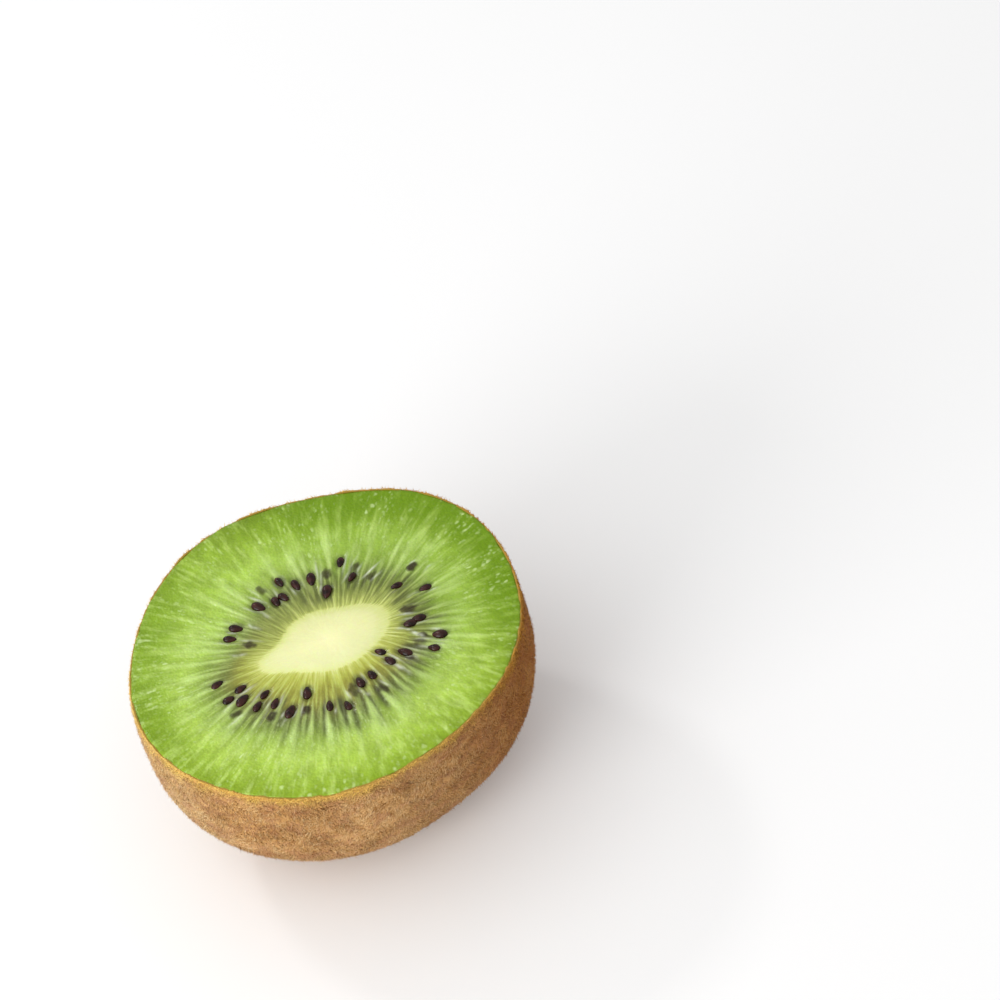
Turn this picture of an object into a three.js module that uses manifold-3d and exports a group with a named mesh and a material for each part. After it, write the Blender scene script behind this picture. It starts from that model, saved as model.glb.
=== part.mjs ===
// Half of a kiwi fruit, cut straight across and standing on its stem end.
// One solid: skin, flesh and core are grown together, and the seeds that the knife
// laid bare are fused to the cut face. Millimetres, +Z up. The origin is the middle
// of the small flat spot that the half rests on, and the cut face is level on top.
// +X runs along the wider way across the fruit.
import * as THREE from "three";
import { mergeVertices } from "three/addons/utils/BufferGeometryUtils.js";
import Module from "manifold-3d";

// Driving dimensions: the body.
const WIDTH = 52.0; // the wider way across the cut face, along X
const FLATNESS = 0.94; // the narrower way across, as a share of WIDTH
const DEPTH = 29.0; // from the cut face to where the round end would close
const REST_CUT = 0.4; // how much of the round end is pressed flat to rest on
const BLUNTNESS = 2.9; // 2 is an ellipsoid's end, and more is a blunter one
const AXIS_LEAN = { x: -0.54, y: 1.1 }; // how far the end lies off the cut face's middle

// The section isn't a true ellipse. Each wave pushes it out in so many lobes, by a share
// of the radius, and the first of them lies at an angle in degrees.
const RIM_WAVES = [
  { lobes: 3, size: 0.01, at: 9 },
  { lobes: 4, size: 0.008, at: 30 },
  { lobes: 5, size: 0.01, at: -30 },
];
const BELLY_WAVES = [
  { lobes: 2, size: 0.022, at: 21 },
  { lobes: 3, size: 0.027, at: -30 },
];

// Driving dimensions: the stem end, a woody button in a shallow moat.
const MOAT_OUTER = 6.4;
const MOAT_FLOOR = 5.2;
const BUTTON_RADIUS = 3.4;
const BUTTON_SHOULDER = 4.0;
const MOAT_DEPTH = 0.8;

// Driving dimensions: the seeds.
const SEED = { length: 2.0, width: 1.25, thickness: 1.0 };
const SEED_TAPER = 0.28; // how much narrower the end that points to the core is
const PROUD = 0.1; // how deep the middle of a bare seed lies under the cut face
const SUNK = 0.28; // the same for a seed that the flesh still half covers
const SEED_SIZES = 0.15; // seeds differ in size by up to this share
const SEED_TURN = 14; // degrees that a seed may turn away from the core

// The seeds lie in locules, narrow chambers set evenly round an oval ring.
const RING = { x: 13.7, y: 10.4, centreX: -0.03, centreY: -0.64 };
const FIRST_LOCULE = 9.1; // degrees
const FIRST_ROW = 0.67; // how far out row a lies, as a share of the ring's radius
const ROW_STEP = 0.083; // how much further out each next row lies
// One group for each locule, anticlockwise from +X. A letter is a seed that the cut met, by
// its row: a capital is a bare seed and a small letter a sunk one. A sign before it says that
// the seed lies clockwise (-) or anticlockwise (+) of the locule's middle. A dot is no seed.
const LOCULES = (
  "-F +D -g . -d Df G -e-B -E -E+G -D+D+g +E . +E +E b . . +F . " +
  "-DF -E+g -CE D+f +E B+e . -E -F+d C -fC . -C+A+e -D+G -e+G+e . -CD +c ."
).split(" ");
const SIDES = { "-": -1, "": 0, "+": 1 };
const SIDE_STEP = 2.9; // degrees from the locule's middle to a seed beside it
const ANGLE_JITTER = 0.4; // degrees
const ROW_JITTER = 0.008;
const DRAW_START = 2024;

// How finely the shapes are divided.
const SEGMENTS = 96;
const SIDE_RINGS = 22;
const SEED_SIDES = 6;
const SEED_RINGS = 4;

const wasm = await Module();
wasm.setup();
const radians = THREE.MathUtils.degToRad;
const HEIGHT = DEPTH - REST_CUT;

/** The next of a fixed run of draws between -1 and 1. */
function makeDraws(start) {
  const multiplier = 16807;
  const modulus = 2147483647;
  let state = start;
  return () => {
    state = (state * multiplier) % modulus;
    return (2 * state) / modulus - 1;
  };
}

/** The sum of some waves at an angle round the fruit. */
function waveSum(waves, angle) {
  return waves.reduce((sum, w) => sum + w.size * Math.cos(w.lobes * (angle - radians(w.at))), 0);
}

/** The radius of the section at an angle, at a share of the depth under the cut face. */
function sectionRadius(angle, share) {
  const oval = (WIDTH / 2) * FLATNESS / Math.hypot(FLATNESS * Math.cos(angle), Math.sin(angle));
  const belly = waveSum(BELLY_WAVES, angle) * Math.sin(Math.PI * share);
  return oval * (1 + waveSum(RIM_WAVES, angle) + belly);
}

/** The side's outline as (share of the section's radius, height), from the rim down. */
function sideProfile() {
  const restShare = HEIGHT / DEPTH;
  const restRadius = (1 - restShare ** BLUNTNESS) ** (1 / BLUNTNESS);
  const last = Math.atan2(restShare, restRadius);
  return Array.from({ length: SIDE_RINGS + 1 }, (_, i) => {
    const across = Math.cos((last * i) / SIDE_RINGS);
    const down = Math.sin((last * i) / SIDE_RINGS);
    const reach = (across ** BLUNTNESS + down ** BLUNTNESS) ** (-1 / BLUNTNESS);
    return new THREE.Vector2(reach * across, HEIGHT - DEPTH * reach * down);
  });
}

/** The underside's outline in the same terms, from the flat spot's edge to the axis. */
function stemProfile() {
  const share = (radius) => radius / (WIDTH / 2);
  return [
    new THREE.Vector2(share(MOAT_OUTER), 0),
    new THREE.Vector2(share(MOAT_FLOOR), MOAT_DEPTH),
    new THREE.Vector2(share(BUTTON_SHOULDER), MOAT_DEPTH),
    new THREE.Vector2(share(BUTTON_RADIUS), 0),
    new THREE.Vector2(0, 0),
  ];
}

/** A geometry's triangles without those that share a corner twice, as at a pole. */
function withoutSlivers(geometry) {
  const index = Array.from(geometry.index.array);
  const kept = [];
  for (let i = 0; i < index.length; i += 3) {
    const [a, b, c] = index.slice(i, i + 3);
    if (a !== b && b !== c && a !== c) kept.push(a, b, c);
  }
  geometry.setIndex(kept);
  return geometry;
}

/** A three.js geometry with its corners merged, as a solid. */
function toSolid(geometry) {
  geometry.deleteAttribute("normal");
  geometry.deleteAttribute("uv");
  const merged = withoutSlivers(mergeVertices(geometry, 1e-4));
  return new wasm.Manifold(
    new wasm.Mesh({
      numProp: 3,
      vertProperties: new Float32Array(merged.attributes.position.array),
      triVerts: new Uint32Array(merged.index.array),
    }),
  );
}

/** A solid as a three.js geometry. */
function toGeometry(solid) {
  const mesh = solid.getMesh();
  const geometry = new THREE.BufferGeometry();
  geometry.setAttribute("position", new THREE.BufferAttribute(mesh.vertProperties, 3));
  geometry.setIndex(new THREE.BufferAttribute(mesh.triVerts, 1));
  geometry.computeVertexNormals();
  return geometry;
}

/** The fruit's body: an outline turned round the axis, then pushed out to the section. */
function bodySolid() {
  const middle = new THREE.Vector2(0, HEIGHT);
  const outline = [middle, ...sideProfile(), ...stemProfile()].reverse();
  const body = new THREE.LatheGeometry(outline, SEGMENTS);
  body.rotateX(Math.PI / 2);
  const places = body.attributes.position;
  const point = new THREE.Vector3();
  for (let i = 0; i < places.count; i += 1) {
    point.fromBufferAttribute(places, i);
    const angle = Math.atan2(point.y, point.x);
    const share = (HEIGHT - point.z) / DEPTH;
    const radius = Math.hypot(point.x, point.y) * sectionRadius(angle, share);
    const lean = point.z / HEIGHT;
    places.setXYZ(
      i,
      radius * Math.cos(angle) - AXIS_LEAN.x * lean,
      radius * Math.sin(angle) - AXIS_LEAN.y * lean,
      point.z,
    );
  }
  return toSolid(body);
}

/** A teardrop at the origin, lying along X with its narrow end towards -X. */
function seedGeometry(size) {
  const seed = new THREE.SphereGeometry(1, SEED_SIDES, SEED_RINGS);
  seed.rotateZ(-Math.PI / 2);
  const places = seed.attributes.position;
  for (let i = 0; i < places.count; i += 1) {
    const along = places.getX(i);
    const girth = 1 - SEED_TAPER * (1 - along) / 2;
    places.setXYZ(
      i,
      (along * size * SEED.length) / 2,
      (places.getY(i) * girth * size * SEED.width) / 2,
      (places.getZ(i) * girth * size * SEED.thickness) / 2,
    );
  }
  return seed;
}

/** Every seed that the cut met, as a solid where it lies in the cut face. */
function seedSolids() {
  const draw = makeDraws(DRAW_START);
  const seeds = [];
  LOCULES.forEach((group, locule) => {
    for (const [, sign, letter] of group.matchAll(/([-+]?)([a-g])/gi)) {
      const step = SIDES[sign] * SIDE_STEP + draw() * ANGLE_JITTER;
      const angle = radians(FIRST_LOCULE + ((locule + 0.5) * 360) / LOCULES.length + step);
      const place = letter.toLowerCase().charCodeAt(0) - "a".charCodeAt(0);
      const row = FIRST_ROW + ROW_STEP * place + draw() * ROW_JITTER;
      const x = RING.centreX + RING.x * row * Math.cos(angle);
      const y = RING.centreY + RING.y * row * Math.sin(angle);
      const size = 1 + draw() * SEED_SIZES;
      const turn = Math.atan2(y, x) + radians(draw() * SEED_TURN);
      const depth = letter === letter.toLowerCase() ? SUNK : PROUD;
      const seed = seedGeometry(size);
      seed.rotateZ(turn);
      seed.translate(x - AXIS_LEAN.x, y - AXIS_LEAN.y, HEIGHT - depth);
      seeds.push(toSolid(seed));
    }
  });
  return seeds;
}

const fruit = seedSolids().reduce((solid, seed) => solid.add(seed), bodySolid());
const kiwiHalf = new THREE.Mesh(
  toGeometry(fruit),
  new THREE.MeshStandardMaterial({ color: 0x9fbf45, roughness: 0.35, metalness: 0 }),
);
kiwiHalf.name = "kiwi_half";

const group = new THREE.Group();
group.add(kiwiHalf);
export default group;
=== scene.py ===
"""Half of a kiwi fruit, cut straight across and standing on its stem end, in a small white studio.

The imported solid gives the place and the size. Around it stand the flesh with its core, threads and
locules, the seeds that the knife laid bare, the thin peel, its hairs in bands from the rim to the
underside, and the woody stem end. Sizes are in millimetres and angles in degrees, and meshes are
written in metres.
"""
from __future__ import annotations

import itertools
import logging
import math
import re
from collections.abc import Mapping, Sequence
from dataclasses import dataclass
from enum import Enum
from typing import Any

import bpy
import numpy as np
from mathutils import Matrix, Vector

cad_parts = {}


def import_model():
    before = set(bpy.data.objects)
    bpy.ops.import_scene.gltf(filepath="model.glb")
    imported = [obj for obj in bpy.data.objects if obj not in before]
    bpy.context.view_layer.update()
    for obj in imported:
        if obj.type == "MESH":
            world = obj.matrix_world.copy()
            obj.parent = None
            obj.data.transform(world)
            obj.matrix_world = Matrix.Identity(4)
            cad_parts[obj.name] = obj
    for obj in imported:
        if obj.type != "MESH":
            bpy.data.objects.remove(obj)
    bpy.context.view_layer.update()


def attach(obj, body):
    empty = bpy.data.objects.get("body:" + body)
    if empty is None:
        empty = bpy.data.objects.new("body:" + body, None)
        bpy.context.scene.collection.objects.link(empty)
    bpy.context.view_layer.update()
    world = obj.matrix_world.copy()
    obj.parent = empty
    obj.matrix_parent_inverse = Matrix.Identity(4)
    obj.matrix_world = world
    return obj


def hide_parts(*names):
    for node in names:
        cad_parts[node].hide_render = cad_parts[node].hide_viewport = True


LOG = logging.getLogger("kiwi_half")
MM = 0.001
NODE = "kiwi_half"
BODY = "root"
Material = bpy.types.Material
Piece = bpy.types.Object
Socket = bpy.types.NodeSocket
Tree = bpy.types.NodeTree
Stops = tuple[tuple[float, str], ...]  # a colour ramp's places and sRGB hex colours
Span = tuple[float, float]  # where something starts and ends
Swell = tuple[float, float, int]  # a noise's height and size in mm, and which pattern it is


# --------------------------------------------------------------------------- shared helpers


def linear(colour: str, alpha: float = 1.0) -> tuple[float, float, float, float]:
    """Turns an sRGB hex colour to linear light.

    Args:
        colour: six hex digits, with or without a leading hash.
        alpha: the fourth number, passed on as it is.

    Returns:
        Red, green, blue and alpha, with the first three linear.
    """
    digits = colour.lstrip("#")
    channels = [int(digits[i:i + 2], 16) / 255 for i in (0, 2, 4)]
    light = [c / 12.92 if c <= 0.04045 else ((c + 0.055) / 1.055) ** 2.4 for c in channels]
    return (light[0], light[1], light[2], alpha)


def smooth(values: np.ndarray) -> np.ndarray:
    """Eases numbers between 0 and 1, and holds what lies past either end."""
    held = np.clip(values, 0.0, 1.0)
    return held * held * (3 - 2 * held)


def lattice_noise(points: np.ndarray, cell: float, start: int) -> np.ndarray:
    """Gives each point a smooth random height between -1 and 1.

    Args:
        points: an array of (x, y, z) rows.
        cell: the size of one swell of the noise, in the points' unit.
        start: which of the noise's many patterns is used.

    Returns:
        One height for each point.
    """
    scaled = points / cell
    corner = np.floor(scaled).astype(np.int64)
    blend = smooth(scaled - corner)
    total = np.zeros(len(points))
    for step in itertools.product((0, 1), repeat=3):
        place = corner + np.array(step)
        mixed = (place[:, 0] * 73856093) ^ (place[:, 1] * 19349663) ^ (place[:, 2] * 83492791)
        mixed = (mixed ^ (start * 2654435761)) & 0x7FFFFFFF
        mixed = ((mixed ^ (mixed >> 13)) * 1274126177) & 0x7FFFFFFF
        height = ((mixed ^ (mixed >> 16)) & 0xFFFF) / 32767.5 - 1
        share = np.prod(np.where(np.array(step) == 1, blend, 1 - blend), axis=1)
        total += share * height
    return total


def swells(points: np.ndarray, kinds: Sequence[Swell]) -> np.ndarray:
    """Adds up some noises over (x, y, z) rows, one height for each row."""
    return sum(height * lattice_noise(points, cell, start) for height, cell, start in kinds)


def nearest_grain(places: np.ndarray, cell: float, start: int) -> np.ndarray:
    """Finds how far each place lies from the nearest of some scattered grains.

    Args:
        places: an array of (x, y) rows.
        cell: the usual distance between two grains.
        start: which scatter is used.

    Returns:
        One distance for each place, as a share of cell.
    """
    scaled = places / cell
    corner = np.floor(scaled).astype(np.int64)
    best = np.full(len(places), 9.0)
    for step in itertools.product((-1, 0, 1), repeat=2):
        tile = corner + np.array(step)
        mixed = ((tile[:, 0] * 374761393) ^ (tile[:, 1] * 668265263) ^ start) & 0x7FFFFFFF
        mixed = ((mixed ^ (mixed >> 13)) * 1274126177) & 0x7FFFFFFF
        grain = np.stack([(mixed & 0x3FF) / 1023, ((mixed >> 10) & 0x3FF) / 1023], axis=1)
        best = np.minimum(best, np.linalg.norm(tile + grain - scaled, axis=1))
    return best


def deselect_all() -> None:
    """Goes to object mode and leaves nothing selected."""
    if bpy.context.object and bpy.context.object.mode != "OBJECT":
        bpy.ops.object.mode_set(mode="OBJECT")
    bpy.ops.object.select_all(action="DESELECT")


def select_only(pieces: Sequence[Piece]) -> None:
    """Selects some pieces and nothing else, and makes the first of them active."""
    deselect_all()
    for piece in pieces:
        piece.select_set(True)
    bpy.context.view_layer.objects.active = pieces[0]


def spun(name: str, outline: Sequence[tuple[float, float]], steps: int) -> Piece:
    """Turns an outline once round the Z axis, as on a wheel, and closes its seam and poles.

    Args:
        name: what the piece is called.
        outline: (radius, height) points in millimetres, from one end to the other.
        steps: how many parts the turn is divided into.

    Returns:
        The new piece, with its faces pointing out.
    """
    deselect_all()
    bpy.ops.mesh.primitive_plane_add(size=MM)
    piece = bpy.context.object
    piece.name = piece.data.name = name
    bpy.ops.object.mode_set(mode="EDIT")
    bpy.ops.mesh.select_mode(type="VERT")
    bpy.ops.mesh.select_all(action="SELECT")
    bpy.ops.mesh.merge(type="CENTER")
    radius, height = outline[0]
    bpy.ops.transform.translate(value=(radius * MM, 0, height * MM))
    for (r0, h0), (r1, h1) in itertools.pairwise(outline):
        move = ((r1 - r0) * MM, 0, (h1 - h0) * MM)
        bpy.ops.mesh.extrude_vertices_move(TRANSFORM_OT_translate={"value": move})
    bpy.ops.mesh.select_all(action="SELECT")
    bpy.ops.mesh.spin(steps=steps, angle=math.tau, center=(0, 0, 0), axis=(0, 0, 1))
    bpy.ops.mesh.select_all(action="SELECT")
    bpy.ops.mesh.remove_doubles(threshold=0.0004 * MM)
    bpy.ops.mesh.normals_make_consistent(inside=False)
    bpy.ops.object.mode_set(mode="OBJECT")
    return piece


def points_of(piece: Piece) -> np.ndarray:
    """Reads a piece's vertices, in millimetres, as (x, y, z) rows."""
    places = np.empty(len(piece.data.vertices) * 3)
    piece.data.vertices.foreach_get("co", places)
    return places.reshape(-1, 3) / MM


def move_points(piece: Piece, places: np.ndarray) -> None:
    """Puts a piece's vertices at some places, in millimetres."""
    piece.data.vertices.foreach_set("co", (places * MM).ravel())
    piece.data.update()


def normals_of(piece: Piece) -> np.ndarray:
    """Reads the directions in which a piece's vertices face."""
    facing = np.empty(len(piece.data.vertices) * 3)
    piece.data.vertex_normals.foreach_get("vector", facing)
    return facing.reshape(-1, 3)


def note(piece: Piece, name: str, values: np.ndarray) -> None:
    """Writes numbers or vectors onto a piece's vertices, for its material to read.

    Args:
        piece: the piece.
        name: the attribute's name.
        values: one number, or one row of three, for each vertex.
    """
    kind, key = ("FLOAT", "value") if values.ndim == 1 else ("FLOAT_VECTOR", "vector")
    attribute = piece.data.attributes.new(name, kind, "POINT")
    attribute.data.foreach_set(key, values.astype(np.float32).ravel())


def mesh_piece(name: str, places: np.ndarray, faces: Sequence[np.ndarray]) -> Piece:
    """Makes a piece from arrays, for things too many to model one by one.

    Args:
        name: what the piece is called.
        places: its vertices in millimetres.
        faces: arrays of corner numbers, one array for each number of corners.

    Returns:
        The new piece, at the origin.
    """
    mesh = bpy.data.meshes.new(name)
    corners = np.concatenate([f.ravel() for f in faces])
    counts = np.concatenate([np.full(len(f), f.shape[1]) for f in faces])
    mesh.vertices.add(len(places))
    mesh.loops.add(len(corners))
    mesh.polygons.add(len(counts))
    mesh.vertices.foreach_set("co", (places * MM).ravel())
    mesh.loops.foreach_set("vertex_index", corners.astype(np.int32))
    mesh.polygons.foreach_set("loop_start", (np.cumsum(counts) - counts).astype(np.int32))
    mesh.update(calc_edges=True)
    mesh.validate()
    piece = bpy.data.objects.new(name, mesh)
    bpy.context.scene.collection.objects.link(piece)
    return piece


def thicken(piece: Piece, wall: float) -> None:
    """Gives a sheet a wall on its inner side, in millimetres."""
    thick = piece.modifiers.new("thickness", "SOLIDIFY")
    thick.thickness = wall * MM
    select_only([piece])
    bpy.ops.object.modifier_apply(modifier=thick.name)


def smooth_faces(piece: Piece, sharp: float | None = None) -> None:
    """Shades a piece smoothly, with edges sharper than an angle kept crisp if one is given."""
    select_only([piece])
    if sharp is None:
        bpy.ops.object.shade_smooth()
    else:
        bpy.ops.object.shade_smooth_by_angle(angle=math.radians(sharp))


def add_node(
    tree: Tree,
    kind: str,
    inputs: Mapping[str | int, Any] | None = None,
    stops: Stops = (),
    out: str = "",
    **settings: Any,
) -> Socket | None:
    """Adds a shader node with its settings and links.

    Args:
        tree: the material's node tree.
        kind: the node's type, without the word that all of them start with.
        inputs: a value for each named or numbered input, or an output that is linked to it.
        stops: a colour ramp's (place, sRGB hex) stops.
        out: which of its outputs is wanted, if it isn't the first.
        settings: the node's other settings by name.

    Returns:
        That output of the new node, or None where it has no outputs.
    """
    node = tree.nodes.new("ShaderNode" + kind)
    for name, value in settings.items():
        setattr(node, name, value)
    if stops:
        elements = node.color_ramp.elements
        while len(elements) < len(stops):
            elements.new(1.0)
        for element, (place, colour) in zip(elements, stops, strict=True):
            element.position = place
            element.color = linear(colour)
    for name, value in (inputs or {}).items():
        if isinstance(value, Socket):
            tree.links.new(value, node.inputs[name])
        else:
            node.inputs[name].default_value = value
    if out:
        return node.outputs[out]
    return next((output for output in node.outputs if output.enabled), None)


def new_material(name: str) -> tuple[Material, Tree]:
    """Starts a material with an empty node tree."""
    material = bpy.data.materials.new(name)
    material.use_nodes = True
    material.node_tree.nodes.clear()
    return material, material.node_tree


def laid_over(
    colour: Socket, value: Socket, span: Span, over: str, most: float = 1.0, **settings: str
) -> Socket:
    """Lays a second colour over a first, the more the further a value is through a span.

    Args:
        colour: the first colour.
        value: what is measured.
        span: its values where none and where most of the second colour lies.
        over: the second colour, as sRGB hex.
        most: the share that lies there at the most.
        settings: the mixer's other settings by name.

    Returns:
        The mixed colour.
    """
    tree = colour.id_data
    share = add_node(
        tree, "MapRange", {"Value": value, "From Min": span[0], "From Max": span[1], "To Max": most},
        interpolation_type="SMOOTHSTEP",
    )
    return add_node(
        tree, "Mix", {"Factor": share, "A": colour, "B": linear(over)}, data_type="RGBA", **settings
    )


def surfaced(
    material: Material, coat: Mapping[str, Any], relief: tuple[Socket, float, float] | None = None
) -> Material:
    """Ends a material with its surface.

    Args:
        material: the material with its patterns.
        coat: the surface's values and links by the shader's own sockets.
        relief: the pattern that raises it, how strongly, and how far in millimetres.

    Returns:
        The finished material.
    """
    tree, inputs = material.node_tree, dict(coat)
    if relief:
        height, strength, rise = relief
        inputs["Normal"] = add_node(
            tree, "Bump", {"Height": height, "Strength": strength, "Distance": rise * MM}
        )
    surface = add_node(tree, "BsdfPrincipled", inputs)
    add_node(tree, "OutputMaterial", {"Surface": surface})
    return material


def dress(piece: Piece, material: Material) -> None:
    """Gives a piece its material, and sets it on the fruit in the solid's place.

    Args:
        piece: the piece.
        material: its finish.
    """
    piece.data.materials.clear()
    piece.data.materials.append(material)
    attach(piece, BODY)
    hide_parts(NODE)
    LOG.info("%s: %d faces", piece.name, len(piece.data.polygons))


# --------------------------------------------------------------------------- the fruit's form


@dataclass(frozen=True)
class Wave:
    """A swell round the fruit: so many lobes, by a share of the radius, the first at an angle."""

    lobes: int
    size: float
    at: float


@dataclass(frozen=True)
class FruitForm:
    """The shape that flesh, peel and hairs share, as the solid has it."""

    width: float = 52.0
    flatness: float = 0.94
    depth: float = 29.0
    rest_cut: float = 0.4
    bluntness: float = 2.9
    lean: tuple[float, float] = (-0.54, 1.1)
    rim_waves: tuple[Wave, ...] = (Wave(3, 0.01, 9), Wave(4, 0.008, 30), Wave(5, 0.01, -30))
    belly_waves: tuple[Wave, ...] = (Wave(2, 0.022, 21), Wave(3, 0.027, -30))
    moat_outer: float = 6.4
    moat_floor: float = 5.2
    button_radius: float = 3.4
    button_shoulder: float = 4.0
    moat_depth: float = 0.8

    @property
    def height(self) -> float:
        """How high the cut face lies over the ground."""
        return self.depth - self.rest_cut

    @property
    def face_centre(self) -> np.ndarray:
        """The middle of the cut face."""
        return np.array([-self.lean[0], -self.lean[1], self.height])

    @staticmethod
    def wave_sum(waves: Sequence[Wave], angle: np.ndarray) -> np.ndarray:
        """Adds up some waves at angles round the fruit."""
        return sum(w.size * np.cos(w.lobes * (angle - math.radians(w.at))) for w in waves)

    def section_radius(self, angle: np.ndarray, share: np.ndarray) -> np.ndarray:
        """Gives the section's radius.

        Args:
            angle: angles round the fruit, in radians.
            share: shares of the depth under the cut face.

        Returns:
            The radius at each angle and share.
        """
        flat = self.flatness
        oval = self.width / 2 * flat / np.hypot(flat * np.cos(angle), np.sin(angle))
        belly = self.wave_sum(self.belly_waves, angle) * np.sin(np.pi * share)
        return oval * (1 + self.wave_sum(self.rim_waves, angle) + belly)

    def side_outline(self, rings: int) -> list[tuple[float, float]]:
        """Gives the side's outline from the rim down to the flat spot's edge.

        Args:
            rings: how many parts the outline is divided into.

        Returns:
            (radius, height) points, with the radius as on a round fruit.
        """
        rest_share = self.height / self.depth
        rest_radius = (1 - rest_share**self.bluntness) ** (1 / self.bluntness)
        last = math.atan2(rest_share, rest_radius)
        outline = []
        for i in range(rings + 1):
            across, down = math.cos(last * i / rings), math.sin(last * i / rings)
            reach = (across**self.bluntness + down**self.bluntness) ** (-1 / self.bluntness)
            height = self.height - self.depth * reach * down
            outline.append((reach * across * self.width / 2, max(height, 0.0)))
        return outline

    def shaped(self, places: np.ndarray, inset: float | np.ndarray) -> np.ndarray:
        """Pushes points of a round, upright body out to the fruit's uneven, leaning one.

        Args:
            places: (x, y, z) rows on the round body.
            inset: how far each new point lies inside the fruit's surface.

        Returns:
            The places on the fruit.
        """
        angle = np.arctan2(places[:, 1], places[:, 0])
        share = (self.height - places[:, 2]) / self.depth
        part = np.hypot(places[:, 0], places[:, 1]) / (self.width / 2)
        radius = part * (self.section_radius(angle, share) - inset)
        lean = np.array(self.lean) * (places[:, 2] / self.height)[:, None]
        flat = radius[:, None] * np.stack([np.cos(angle), np.sin(angle)], axis=1) - lean
        return np.column_stack([flat, places[:, 2]])


# --------------------------------------------------------------------------- the seeds' places


@dataclass(frozen=True)
class SeedPlace:
    """Where one seed lies in the cut face, measured from the face's middle."""

    x: float
    y: float
    size: float
    turn: float
    bare: bool


@dataclass(frozen=True)
class Locules:
    """The narrow chambers round the core, and the seeds that the cut met in them."""

    ring: tuple[float, float] = (13.7, 10.4)
    centre: tuple[float, float] = (-0.03, -0.64)
    first: float = 9.1
    first_row: float = 0.67
    row_step: float = 0.083
    # A group for each locule, anticlockwise from +X. A letter is a seed by its row, a capital
    # for a bare seed and a small letter for a sunk one. A sign before it puts the seed clockwise
    # (-) or anticlockwise (+) of the locule's middle, and a dot is no seed, as in the solid.
    letters: str = (
        "-F +D -g . -d Df G -e-B -E -E+G -D+D+g +E . +E +E b . . +F . "
        "-DF -E+g -CE D+f +E B+e . -E -F+d C -fC . -C+A+e -D+G -e+G+e . -CD +c ."
    )
    side_step: float = 2.9
    angle_jitter: float = 0.4
    row_jitter: float = 0.008
    sizes: float = 0.15
    turn_jitter: float = 14.0
    draw_start: int = 2024

    @property
    def count(self) -> int:
        """How many locules there are."""
        return len(self.letters.split())

    def draws(self) -> Any:
        """Gives the same fixed run of draws between -1 and 1 as the solid's seeds use."""
        state = self.draw_start
        while True:
            state = state * 16807 % 2147483647
            yield 2 * state / 2147483647 - 1

    def middle(self, locule: int) -> float:
        """The angle of a locule's middle, in degrees."""
        return self.first + (locule + 0.5) * 360 / self.count

    def seeds(self) -> list[SeedPlace]:
        """Works out where each seed lies, in the solid's order of draws."""
        draw = self.draws()
        sides = {"-": -1, "": 0, "+": 1}
        found = []
        for locule, group in enumerate(self.letters.split()):
            for sign, letter in re.findall("([-+]?)([a-gA-G])", group):
                step = sides[sign] * self.side_step + next(draw) * self.angle_jitter
                angle = math.radians(self.middle(locule) + step)
                place = ord(letter.lower()) - ord("a")
                row = self.first_row + self.row_step * place + next(draw) * self.row_jitter
                x = self.centre[0] + self.ring[0] * row * math.cos(angle)
                y = self.centre[1] + self.ring[1] * row * math.sin(angle)
                size = 1 + next(draw) * self.sizes
                turn = math.atan2(y, x) + math.radians(next(draw) * self.turn_jitter)
                found.append(SeedPlace(x, y, size, turn, letter.isupper()))
        return found


# --------------------------------------------------------------------------- the finishes


@dataclass(frozen=True)
class LightCellsAndGlints:
    """One kind of light cell in the flesh. These are partly painted highlights of the wet juice."""

    spacing: float  # mm between two of them
    reach: float  # how far one reaches, as a share of the spacing
    dark: float  # the part of them that stays dark
    lightest: float  # how light the lightest is


@dataclass(frozen=True)
class FleshPlaces:
    """What the flesh's patterns read: coordinates, and the share of the way to the peel."""

    tree: Tree
    place: Socket
    fibre: Socket  # drawn far out along the rays
    cell: Socket  # drawn out less
    outward: Socket


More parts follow.
